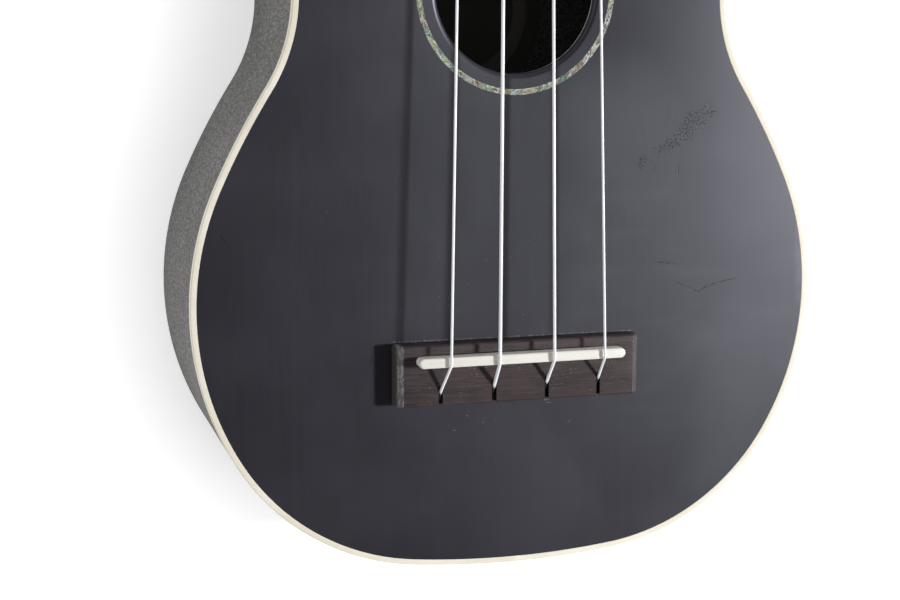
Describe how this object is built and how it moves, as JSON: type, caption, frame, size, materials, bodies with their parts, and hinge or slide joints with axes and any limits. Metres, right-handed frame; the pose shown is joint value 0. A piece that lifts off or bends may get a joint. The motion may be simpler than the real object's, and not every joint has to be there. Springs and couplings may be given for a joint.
{
  "type": "soprano ukulele",
  "caption": "Soprano ukulele lying on its back: black top with cream binding, shell ring round the soundhole, slotted rosewood bridge, nylon strings and geared tuners.",
  "frame": {"origin": "on the plane of the flat back, on the centre line, under the middle of the lower bout", "axes": "+Z out of the top, +Y along the neck towards the head, +X to the side of the first string"},
  "size_m": [0.1744, 0.5265, 0.0683],
  "materials": {
    "black_top": "black satin stain over wood, faint grain, dust and fine scratches",
    "back_wood": "charcoal stained, open pored, matt",
    "side_wood": "charcoal stained, open pored, pale in the pores, matt",
    "binding": "cream, satin",
    "shell": "green, pink and blue shell segments under lacquer",
    "inner_wood": "bare, sanded",
    "bridge_wood": "dark rosewood, oiled, saw marks on the end bevels",
    "saddle_bone": "ivory white, polished",
    "neck_wood": "dark stained, satin",
    "head_veneer": "black satin veneer",
    "board_wood": "dark rosewood, oiled",
    "fret_wire": "nickel silver, polished on the crown",
    "nut_bone": "ivory white, polished",
    "nylon": "clear to milky white",
    "tuner_plate": "nickel plated",
    "tuner_steel": "nickel plated, greased thread",
    "button": "cream, polished",
    "post_brass": "bright brass, turned",
    "bushing": "nickel plated, pressed"
  },
  "bodies": {
    "instrument": {"back": "back_wood", "side_left": "side_wood", "side_right": "side_wood", "soundboard": "black_top", "top_binding": "binding", "rosette": "shell", "top_lining_left": "inner_wood", "top_lining_right": "inner_wood", "back_lining_left": "inner_wood", "back_lining_right": "inner_wood", "tail_block": "inner_wood", "neck_block": "inner_wood", "upper_top_brace": "inner_wood", "lower_top_brace": "inner_wood", "upper_back_brace": "inner_wood", "lower_back_brace": "inner_wood", "bridge_plate": "inner_wood", "bridge": "bridge_wood", "saddle": "saddle_bone", "neck": "neck_wood", "heel_cap": "binding", "headstock_face": "head_veneer", "fretboard": "board_wood", "fret_01": "fret_wire", "fret_02": "fret_wire", "fret_03": "fret_wire", "fret_04": "fret_wire", "fret_05": "fret_wire", "fret_06": "fret_wire", "fret_07": "fret_wire", "fret_08": "fret_wire", "fret_09": "fret_wire", "fret_10": "fret_wire", "fret_11": "fret_wire", "fret_12": "fret_wire", "nut": "nut_bone", "string_g": "nylon", "string_c": "nylon", "string_e": "nylon", "string_a": "nylon", "tuner_plate_g": "tuner_plate", "tuner_plate_c": "tuner_plate", "tuner_plate_e": "tuner_plate", "tuner_plate_a": "tuner_plate", "post_bushing_g": "bushing", "post_bushing_c": "bushing", "post_bushing_e": "bushing", "post_bushing_a": "bushing"},
    "knob_g": {"worm_shaft_g": "tuner_steel", "tuner_button_g": "button"},
    "knob_c": {"worm_shaft_c": "tuner_steel", "tuner_button_c": "button"},
    "knob_e": {"worm_shaft_e": "tuner_steel", "tuner_button_e": "button"},
    "knob_a": {"worm_shaft_a": "tuner_steel", "tuner_button_a": "button"},
    "post_g": {"string_post_g": "post_brass"},
    "post_c": {"string_post_c": "post_brass"},
    "post_e": {"string_post_e": "post_brass"},
    "post_a": {"string_post_a": "post_brass"}
  },
  "joints": [
    {"name": "knob_g_turn", "type": "hinge", "parent": "instrument", "child": "knob_g", "pos_m": [-0.016, 0.35089, 0.03392], "axis": [-1, 0, 0], "continuous": true},
    {"name": "knob_c_turn", "type": "hinge", "parent": "instrument", "child": "knob_c", "pos_m": [-0.0175, 0.39383, 0.02431], "axis": [-1, 0, 0], "continuous": true},
    {"name": "knob_e_turn", "type": "hinge", "parent": "instrument", "child": "knob_e", "pos_m": [0.0175, 0.39383, 0.02431], "axis": [1, 0, 0], "continuous": true},
    {"name": "knob_a_turn", "type": "hinge", "parent": "instrument", "child": "knob_a", "pos_m": [0.016, 0.35089, 0.03392], "axis": [1, 0, 0], "continuous": true},
    {"name": "post_g_turn", "type": "hinge", "parent": "instrument", "child": "post_g", "pos_m": [-0.016, 0.35879, 0.03718], "axis": [0, -0.2184, -0.9759], "continuous": true, "deforming": ["string_g"]},
    {"name": "post_c_turn", "type": "hinge", "parent": "instrument", "child": "post_c", "pos_m": [-0.0175, 0.40173, 0.02757], "axis": [0, -0.2184, -0.9759], "continuous": true, "deforming": ["string_c"]},
    {"name": "post_e_turn", "type": "hinge", "parent": "instrument", "child": "post_e", "pos_m": [0.0175, 0.40173, 0.02757], "axis": [0, -0.2184, -0.9759], "continuous": true, "deforming": ["string_e"]},
    {"name": "post_a_turn", "type": "hinge", "parent": "instrument", "child": "post_a", "pos_m": [0.016, 0.35879, 0.03718], "axis": [0, -0.2184, -0.9759], "continuous": true, "deforming": ["string_a"]}
  ],
  "couplings": [
    {"joint": "post_g_turn", "follows": "knob_g_turn", "ratio": -0.071429},
    {"joint": "post_c_turn", "follows": "knob_c_turn", "ratio": -0.071429},
    {"joint": "post_e_turn", "follows": "knob_e_turn", "ratio": 0.071429},
    {"joint": "post_a_turn", "follows": "knob_a_turn", "ratio": 0.071429}
  ]
}
